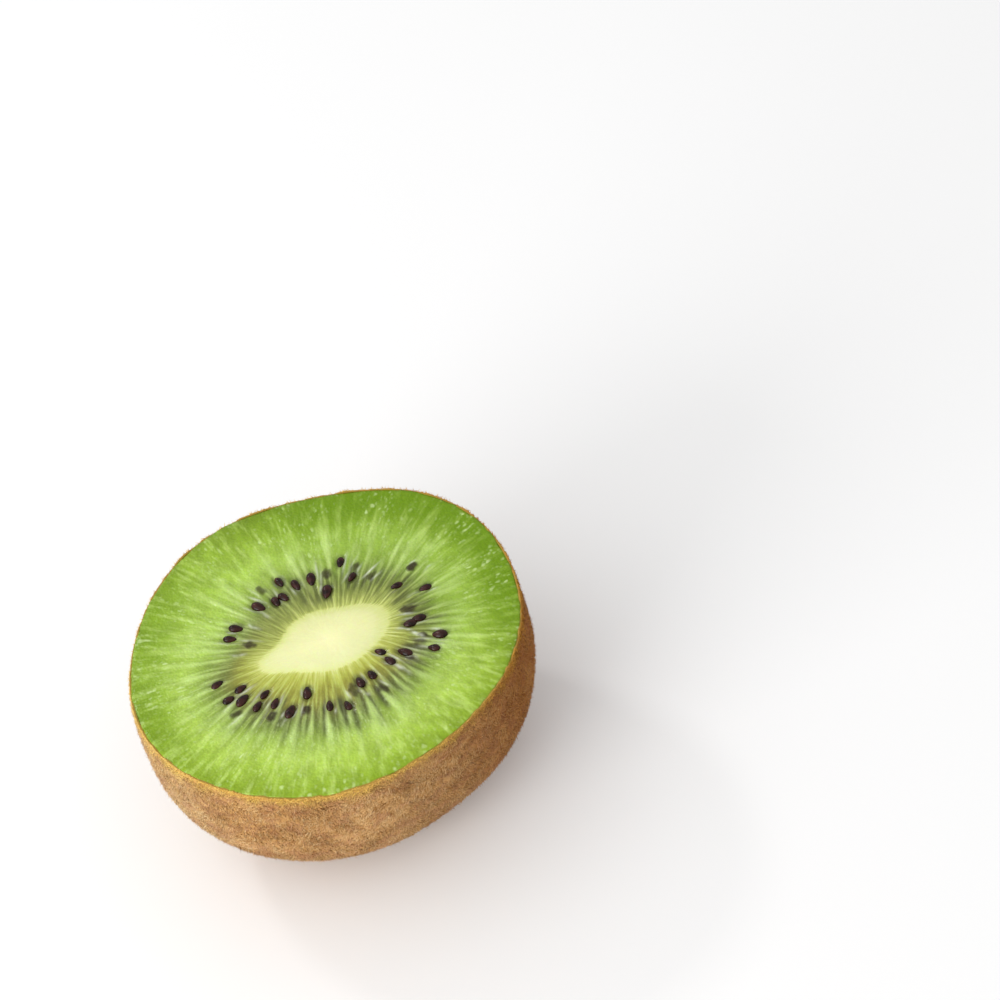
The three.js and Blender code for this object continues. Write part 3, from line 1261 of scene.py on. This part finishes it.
    def relief(self) -> np.ndarray:
        """The cut face's height over its plane, in millimetres."""
        swell = swells(self.spots, self.uneven)
        green = smooth((self.out - 0.25) / 0.3)
        cells = nearest_grain(self.flat, self.grain_size, self.grain_start)
        grain = self.grain_height * green * (0.6 - cells)
        core = 0.14 * smooth(-self.out / 0.3)
        ridges = 0.07 * self.thread - 0.10 * self.pocket_and_shade + 0.05 * self.film_and_glint
        bulge = 0.14 * self.sunk - 0.14 * self.pit
        shoulder = -0.06 * smooth((self.out - 0.97) / 0.03) ** 2
        return swell + grain + core + ridges + bulge + shoulder

    def notes(self) -> dict[str, np.ndarray]:
        """The attributes that the finish reads, by name."""
        feather = 0.08 * (self.thread - 0.35) * np.exp(-((self.out / 0.16) ** 2))
        drift = 0.012 * lattice_noise(self.spots, 3.0, 5)
        # Painted light: the outer flesh at the back left is made lighter by shifting its colours
        # inwards.
        light = 0.05 * self.towards(self.painted_light_rim) * smooth((self.out - 0.55) / 0.35)
        ring = smooth((self.out - 0.15) / 0.1) * smooth((0.65 - self.out) / 0.2)
        light -= ring * (0.03 * self.towards(self.narrow_ring) - 0.015 * self.towards(self.wide_ring))
        outward = np.clip((self.out + 1) / 2 - feather + drift - light, 0, 1)
        # Deeper green; on the right side it is painted shade.
        deep_and_shade_share = 0.36 * smooth(self.out / 0.4) + 0.56 * smooth((self.out - 0.6) / 0.3)
        deep = self.towards(self.deep_green_and_shade) * deep_and_shade_share
        deep += 0.42 * self.towards(self.deep_rim) * smooth((self.out - 0.55) / 0.3)
        around = np.stack([np.cos(self.turn), np.sin(self.turn)], axis=1)
        drawn = {
            "thread": self.thread, "pocket_and_shade": self.pocket_and_shade, "sunk": self.sunk, "film_and_glint": self.film_and_glint,
        }
        return {name: np.where(self.on_face, values, 0.0) for name, values in drawn.items()} | {
            "outward": np.where(self.on_face, outward, 1.0), "front": self.front, "deep": deep,
            "fibre": np.column_stack([self.ring * around, 2.2 * self.out]),
            "cell": np.column_stack([self.outer_ring * around, self.cell_stretch * self.out]),
        }


@dataclass(frozen=True)
class SeedShape:
    """A kiwi seed: a flattened teardrop with its narrow end towards the core."""

    length: float = 2.0
    width: float = 1.25
    thickness: float = 1.0
    taper: float = 0.28


@dataclass
class Seeds:
    """The seeds that the knife laid bare, half out of the flesh."""

    form: FruitForm
    locules: Locules
    shape: SeedShape = SeedShape()
    depth: float = 0.1
    finish: SeedFinish = SeedFinish()

    def pattern(self) -> Piece:
        """Models one seed at the origin, lying along X with its narrow end towards -X."""
        deselect_all()
        bpy.ops.mesh.primitive_uv_sphere_add(segments=24, ring_count=14, radius=MM)
        seed = bpy.context.object
        seed.name = "seed"
        bpy.ops.object.mode_set(mode="EDIT")
        bpy.ops.mesh.select_all(action="SELECT")
        bpy.ops.transform.rotate(value=math.pi / 2, orient_axis="Y", center_override=(0, 0, 0))
        half = (self.shape.length / 2, self.shape.width / 2, self.shape.thickness / 2)
        bpy.ops.transform.resize(value=half, center_override=(0, 0, 0))
        bpy.ops.object.mode_set(mode="OBJECT")
        places = points_of(seed)
        along = places[:, 0] / half[0]
        girth = 1 - self.shape.taper * smooth((1 - along) / 2) ** 1.3
        places[:, 1:] *= girth[:, None]
        move_points(seed, places)
        return seed

    def build(self) -> Piece:
        """Copies the seed to each bare place, and joins the copies."""
        pattern = self.pattern()
        shape = points_of(pattern)
        copies = []
        for i, seed in enumerate(s for s in self.locules.seeds() if s.bare):
            copy = pattern.copy()
            copy.data = pattern.data.copy()
            bpy.context.scene.collection.objects.link(copy)
            uneven = 1 + 0.05 * lattice_noise(shape, 0.9, 100 + i)[:, None]
            uneven = uneven * np.array([0.93, 0.96 + 0.09 * math.sin(5.1 * i), 1.0])
            tilt = Matrix.Rotation(0.10 * math.sin(7.3 * i), 3, "Y")
            turn = np.array(Matrix.Rotation(seed.turn, 3, "Z") @ tilt)
            where = self.form.face_centre + np.array([seed.x, seed.y, -self.depth])
            move_points(copy, (shape * uneven * seed.size) @ turn.T + where)
            copies.append(copy)
        bpy.data.objects.remove(pattern)
        select_only(copies)
        bpy.ops.object.join()
        piece = bpy.context.object
        piece.name = piece.data.name = "seeds"
        smooth_faces(piece)
        dress(piece, self.finish.material())
        return piece


@dataclass
class Peel:
    """The thin skin, from its cut edge round the side to the stem end's moat."""

    form: FruitForm
    thickness: float = 0.22
    uneven: tuple[Swell, ...] = ((0.16, 6.5, 31), (0.07, 2.2, 32), (0.035, 0.9, 33))
    ragged: tuple[Swell, ...] = ((0.12, 2.6, 34), (0.15, 0.8, 35))
    edge_drop: float = 0.08  # mm that the cut edge lies lower than the flesh, on the whole
    edge_band: float = 0.7  # mm under the cut that the ragged edge reaches down
    calm_rim: float = 1.5  # mm under the cut where the peel is smoother
    calm_foot: float = 1.2  # mm over the ground where it is too
    steps: int = 350
    side_rings: int = 86
    finish: PeelFinish = PeelFinish()
    roots: HairRoots | None = None

    def outline(self) -> list[tuple[float, float]]:
        """The outer face's outline, from the stem button's foot round to the cut edge."""
        form = self.form
        moat = [
            (form.button_shoulder - 0.3, form.moat_depth), (form.moat_floor - 0.4, form.moat_depth),
            (form.moat_floor, form.moat_depth * 0.96), (form.moat_floor + 0.4, form.moat_depth * 0.7),
            (form.moat_outer - 0.3, form.moat_depth * 0.2), (form.moat_outer, 0.0),
            (form.moat_outer + 0.8, 0.0), (form.moat_outer + 1.6, 0.0),
        ]
        return [*moat, *reversed(form.side_outline(self.side_rings))]

    def build(self) -> Piece:
        """Models the peel's outer face, roots the hairs on it and gives it its thickness."""
        piece = spun("peel", self.outline(), self.steps)
        round_places = points_of(piece)
        places = self.form.shaped(round_places, 0.0)
        move_points(piece, places)
        below = self.form.height - places[:, 2]
        calm = np.minimum(smooth(below / self.calm_rim), smooth(places[:, 2] / self.calm_foot))
        rise = calm * swells(places, self.uneven)
        drop = self.edge_drop - swells(places, self.ragged)
        edge = drop * smooth(1 - below / self.edge_band)
        places += normals_of(piece) * rise[:, None]
        places[:, 2] -= edge
        move_points(piece, places)
        note(piece, "below_rim", below)
        self.roots = HairRoots.on(piece, self.form.height)
        thicken(piece, self.thickness)
        smooth_faces(piece, 50)
        dress(piece, self.finish.material())
        return piece


@dataclass
class HairRoots:
    """The peel's outer face as triangles, for hairs to be rooted on."""

    corners: np.ndarray
    facing: np.ndarray
    area: np.ndarray
    height: float

    @classmethod
    def on(cls, piece: Piece, height: float) -> HairRoots:
        """Reads a piece's triangles.

        Args:
            piece: the peel while it is a single face.
            height: how high the cut face lies.

        Returns:
            The triangles with their areas and directions.
        """
        mesh = piece.data
        mesh.calc_loop_triangles()
        index = np.empty(len(mesh.loop_triangles) * 3, np.int32)
        mesh.loop_triangles.foreach_get("vertices", index)
        # The modeller keeps the faces in no fixed order, so they are sorted by their vertices.
        index = index.reshape(-1, 3)
        turns = (index.argmin(axis=1)[:, None] + np.arange(3)) % 3
        index = np.take_along_axis(index, turns, axis=1)
        corners = points_of(piece)[index[np.lexsort(index.T)]]
        cross = np.cross(corners[:, 1] - corners[:, 0], corners[:, 2] - corners[:, 0])
        size = np.linalg.norm(cross, axis=1)
        return cls(corners, cross / np.maximum(size, 1e-12)[:, None], size / 2, height)

    def scatter(
        self, count: int, band: tuple[float, float], draw: np.random.Generator
    ) -> tuple[np.ndarray, np.ndarray]:
        """Picks even random places in a band below the cut edge.

        Args:
            count: how many.
            band: the least and the most height over the ground, in millimetres.
            draw: where the random numbers come from.

        Returns:
            The places and the directions in which the peel faces there.
        """
        level = self.corners[:, :, 2].mean(axis=1)
        weight = self.area * ((level > band[0]) & (level <= band[1]))
        pick = draw.choice(len(weight), count, p=weight / weight.sum())
        a, b = draw.random(count), draw.random(count)
        over = a + b > 1
        a, b = np.where(over, 1 - a, a), np.where(over, 1 - b, b)
        tri = self.corners[pick]
        place = tri[:, 0] + a[:, None] * (tri[:, 1] - tri[:, 0]) + b[:, None] * (tri[:, 2] - tri[:, 0])
        return place, self.facing[pick]


@dataclass(frozen=True)
class HairBand:
    """A band of the peel: its name, heights over the ground, and its hairs' number and lie."""

    title: str
    low: float
    high: float
    count: int
    length: float
    lift: float  # degrees off the peel
    spread: float = 0.9  # radians that a hair may turn away from the lie of those around it


class Band(Enum):
    """The bands of hair, from the cut edge down."""

    RIM = HairBand("fuzz_rim", low=26.6, high=29.5, count=20000, length=0.55, lift=22, spread=1.7)
    SHOULDER = HairBand("fuzz_shoulder", low=19.0, high=26.6, count=46000, length=0.60, lift=20)
    BELLY = HairBand("fuzz_belly", low=10.0, high=19.0, count=48000, length=0.60, lift=20)
    BASE = HairBand("fuzz_base", low=0.12, high=10.0, count=49000, length=0.60, lift=20)


@dataclass
class Fuzz:
    """One band of the peel's hairs, each a short, stiff spike."""

    form: FruitForm
    roots: HairRoots
    band: Band
    material: Material
    root_radius: float = 0.058
    root_depth: float = 0.06
    uneven_root: Span = (0.55, 1.35)  # shares of the radius
    uneven_length: Span = (0.5, 1.3)  # shares of the length
    stray_share: float = 0.015  # of the hairs, and they are longer
    stray_longer: float = 0.8
    lift_spread: float = 12.0  # degrees
    lift_limits: Span = (4.0, 65.0)
    swirl: Swell = (1.8, 3.0, 51)  # its height is in radians
    shade: Span = (0.5, 0.26)  # the mean shade and its spread
    shade_drift: Swell = (0.16, 2.5, 52)  # its height is a shade
    ground_gap: float = 0.03
    over_cut: float = 0.35  # mm that a tip may rise over the cut face
    sides: int = 3

    def build(self) -> Piece:
        """Models the band's hairs as one piece."""
        band, count = self.band.value, self.band.value.count
        draw = np.random.default_rng(sum(map(ord, band.title)))
        root, facing = self.roots.scatter(count, (band.low, band.high), draw)
        down = np.array([0.0, 0.0, -1.0]) - facing * (-facing[:, 2])[:, None]
        down /= np.maximum(np.linalg.norm(down, axis=1), 1e-9)[:, None]
        side = np.cross(facing, down)
        swirl = swells(root, [self.swirl]) + draw.normal(0, band.spread, count)
        lie = down * np.cos(swirl)[:, None] + side * np.sin(swirl)[:, None]
        rise = np.radians(np.clip(draw.normal(band.lift, self.lift_spread, count), *self.lift_limits))
        way = lie * np.cos(rise)[:, None] + facing * np.sin(rise)[:, None]
        stray = self.stray_longer * (draw.random(count) > 1 - self.stray_share)
        reach = band.length * (draw.uniform(*self.uneven_length, count) + stray)[:, None]
        base = root - facing * self.root_depth
        tip = base + way * reach
        tip[:, 2] = np.clip(tip[:, 2], self.ground_gap, self.form.height + self.over_cut)
        corners = self.sides + 1
        start = np.arange(count)[:, None, None] * corners
        ring = np.arange(self.sides)
        sides = np.stack([ring, (ring + 1) % self.sides, np.full(self.sides, self.sides)], axis=1)
        faces = (start + np.concatenate([sides, ring[::-1][None, :]])[None]).reshape(-1, 3)
        piece = mesh_piece(band.title, self.spikes(base, tip, facing, draw), [faces])
        shade = draw.normal(*self.shade, count) + swells(root, [self.shade_drift])
        note(piece, "shade", np.repeat(np.clip(shade, 0, 1), corners))
        note(piece, "below_rim", np.repeat(self.form.height - root[:, 2], corners))
        smooth_faces(piece)
        dress(piece, self.material)
        return piece

    def spikes(
        self, base: np.ndarray, tip: np.ndarray, facing: np.ndarray, draw: np.random.Generator
    ) -> np.ndarray:
        """Works out each hair's corners: a ring at its foot, and its tip.

        Args:
            base: where each foot lies.
            tip: where each one ends.
            facing: the direction that the peel faces at each foot.
            draw: where the random numbers come from.

        Returns:
            The corners of all the hairs, hair by hair.
        """
        along = tip - base
        along /= np.maximum(np.linalg.norm(along, axis=1), 1e-9)[:, None]
        side = np.cross(along, facing)
        side /= np.maximum(np.linalg.norm(side, axis=1), 1e-9)[:, None]
        over = np.cross(side, along)
        thick = self.root_radius * draw.uniform(*self.uneven_root, len(base))[:, None]
        turns = [math.tau * k / self.sides for k in range(self.sides)]
        ring = [base + (math.cos(t) * side + math.sin(t) * over) * thick for t in turns]
        return np.stack([*ring, tip], axis=1).reshape(-1, 3)


@dataclass
class StemEnd:
    """The woody button where the fruit hung, with shrivelled sepals round it in the moat."""

    form: FruitForm
    steps: int = 96
    sepals: int = 5
    sepal_thickness: float = 0.12
    sepal_width: float = 0.95  # mm from its middle line to its side, at its foot
    sepal_length: float = 1.7
    sepal_curl: float = 0.16
    plug: float = 1.0  # mm that the button reaches up past the moat's floor
    crack_depth: float = 0.22
    cracks: int = 9
    finish: WoodyFinish = WoodyFinish()

    def build(self) -> list[Piece]:
        """Models the button and the sepals."""
        material = self.finish.material()
        pieces = [self.button(), *(self.sepal(i) for i in range(self.sepals))]
        for piece in pieces:
            smooth_faces(piece, 60)
            dress(piece, material)
        return pieces

    def button(self) -> Piece:
        """Models the button: a squat plug, flat below, with cracks along its rays."""
        form = self.form
        top, radius = form.moat_depth + self.plug, form.button_radius
        outline = [
            (0.0, 0.0), (0.5, 0.0), (1.2, 0.0), (2.0, 0.0), (radius - 0.7, 0.0), (radius, 0.1),
            (form.button_shoulder - 0.2, form.moat_depth * 0.6),
            (form.button_shoulder, form.moat_depth), (form.button_shoulder, top), (0.0, top),
        ]
        piece = spun("stem_button", outline, self.steps)
        places = points_of(piece)
        angle = np.arctan2(places[:, 1], places[:, 0])
        reach = np.hypot(places[:, 0], places[:, 1])
        cracks = np.maximum(0, np.cos(self.cracks * angle + 1.5 * np.sin(3 * angle))) ** 6
        under = places[:, 2] < form.moat_depth * 0.9
        within = smooth(reach / 1.2) * smooth((radius + 0.4 - reach) / 0.8)
        places[:, 2] += np.where(under, self.crack_depth * cracks * within, 0.0)
        rough = 1 + 0.05 * lattice_noise(places, 1.1, 61)
        places[:, :2] *= np.where(reach > 1.5, rough, 1.0)[:, None]
        move_points(piece, form.shaped(places, 0.0))
        return piece

    def sepal(self, number: int) -> Piece:
        """Models one sepal: a curled, tapering flap lying in the moat.

        Args:
            number: which of them, counted round the button.

        Returns:
            The sepal, closed and in its place.
        """
        form = self.form
        deselect_all()
        bpy.ops.mesh.primitive_grid_add(x_subdivisions=9, y_subdivisions=7, size=2 * MM)
        piece = bpy.context.object
        piece.name = piece.data.name = f"sepal_{number + 1}"
        places = points_of(piece)
        out, across = (places[:, 0] + 1) / 2, places[:, 1]
        width = self.sepal_width * (1 - 0.75 * out**1.5)
        turn = math.tau * (number + 0.3 * math.sin(2.1 * number)) / self.sepals
        reach = form.button_radius + 0.3 + self.sepal_length * out
        curl = self.sepal_curl * np.sin(3 * across + number) * out
        height = form.moat_depth * (0.62 - 0.38 * out) + curl * 0.6
        x = reach * math.cos(turn) - across * width * math.sin(turn)
        y = reach * math.sin(turn) + across * width * math.cos(turn)
        move_points(piece, np.column_stack([x, y, np.clip(height, 0.16, None)]))
        thicken(piece, self.sepal_thickness)
        bpy.ops.object.mode_set(mode="EDIT")
        bpy.ops.mesh.select_all(action="SELECT")
        bpy.ops.mesh.normals_make_consistent(inside=False)
        bpy.ops.object.mode_set(mode="OBJECT")
        return piece


# --------------------------------------------------------------------------- the studio


@dataclass(frozen=True)
class SoftBox:
    """A square soft light at a distance, turned to the fruit."""

    name: str
    towards: tuple[float, float, float]
    distance: float
    side: float
    power: float

    def build(self, target: Vector) -> None:
        """Hangs the light.

        Args:
            target: the point that it is turned to, in metres.
        """
        light = bpy.data.lights.new(self.name, "AREA")
        light.size = self.side
        light.energy = self.power
        lamp = bpy.data.objects.new(self.name, light)
        away = Vector(self.towards).normalized()
        lamp.location = target + away * self.distance
        lamp.rotation_euler = away.to_track_quat("Z", "Y").to_euler()
        bpy.context.scene.collection.objects.link(lamp)


@dataclass
class Studio:
    """A white table, soft lights and the camera."""

    form: FruitForm
    azimuth: float = -7.47  # degrees round the fruit
    elevation: float = 48.82  # degrees above the table
    roll: float = -15.46  # degrees that the camera is turned about its own line of sight
    face_seen_at: tuple[float, float, float] = (-22.71, -17.45, -356.4)  # right, up and back
    lens: float = 100.0
    boxes: tuple[SoftBox, ...] = (
        SoftBox("key", (-0.55, -0.15, 0.85), 0.5, 0.5, 0.66),
        SoftBox("fill", (-0.90, -0.48, 0.22), 0.8, 0.5, 4.8),
        SoftBox("glint", (-0.38, 0.64, 0.66), 0.6, 0.08, 0.40),
    )
    sky: float = 0.71

    def camera(self) -> None:
        """Places the camera, so that the cut face is seen where and as large as it should be."""
        az, el, roll = (math.radians(a) for a in (self.azimuth, self.elevation, self.roll))
        back = Vector((math.sin(az) * math.cos(el), -math.cos(az) * math.cos(el), math.sin(el)))
        level = Vector((math.cos(az), math.sin(az), 0))
        upright = back.cross(level)
        right = math.cos(roll) * level + math.sin(roll) * upright
        up = back.cross(right)
        seen = self.face_seen_at
        centre = Vector(self.form.face_centre)
        place = centre - right * seen[0] - up * seen[1] - back * seen[2]
        data = bpy.data.cameras.new("camera")
        data.lens = self.lens
        data.clip_start, data.clip_end = 0.01, 20.0
        camera = bpy.data.objects.new("camera", data)
        turned = Matrix((right, up, back)).transposed().to_4x4()
        camera.matrix_world = Matrix.Translation(place * MM) @ turned
        bpy.context.scene.collection.objects.link(camera)
        bpy.context.scene.camera = camera

    def table(self) -> None:
        """Lays the white table."""
        deselect_all()
        bpy.ops.mesh.primitive_plane_add(size=6.0)
        table = bpy.context.object
        table.name = table.data.name = "table"
        material, tree = new_material("white_table")
        surface = add_node(
            tree, "BsdfPrincipled",
            {"Base Color": (0.95, 0.95, 0.95, 1.0), "Roughness": 0.9, "Specular IOR Level": 0.1},
        )
        add_node(tree, "OutputMaterial", {"Surface": surface})
        table.data.materials.append(material)

    def build(self) -> None:
        """Sets up the sky, the lights, the table and the camera."""
        world = bpy.data.worlds.new("studio")
        world.use_nodes = True
        sky = world.node_tree.nodes["Background"]
        sky.inputs["Color"].default_value = (1.0, 1.0, 1.0, 1.0)
        sky.inputs["Strength"].default_value = self.sky
        scene = bpy.context.scene
        scene.world = world
        scene.view_settings.view_transform = "Standard"
        target = Vector(self.form.face_centre) * MM
        for box in self.boxes:
            box.build(target)
        self.table()
        self.camera()


def main() -> None:
    """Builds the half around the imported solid, and its studio."""
    logging.basicConfig(level=logging.INFO, format="%(name)s: %(message)s")
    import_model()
    form, locules = FruitForm(), Locules()
    Flesh(form, locules).build()
    Seeds(form, locules).build()
    peel = Peel(form)
    peel.build()
    hair = HairFinish().material()
    for band in Band:
        Fuzz(form, peel.roots, band, hair).build()
    StemEnd(form).build()
    Studio(form).build()


if __name__ == "__main__":
    main()
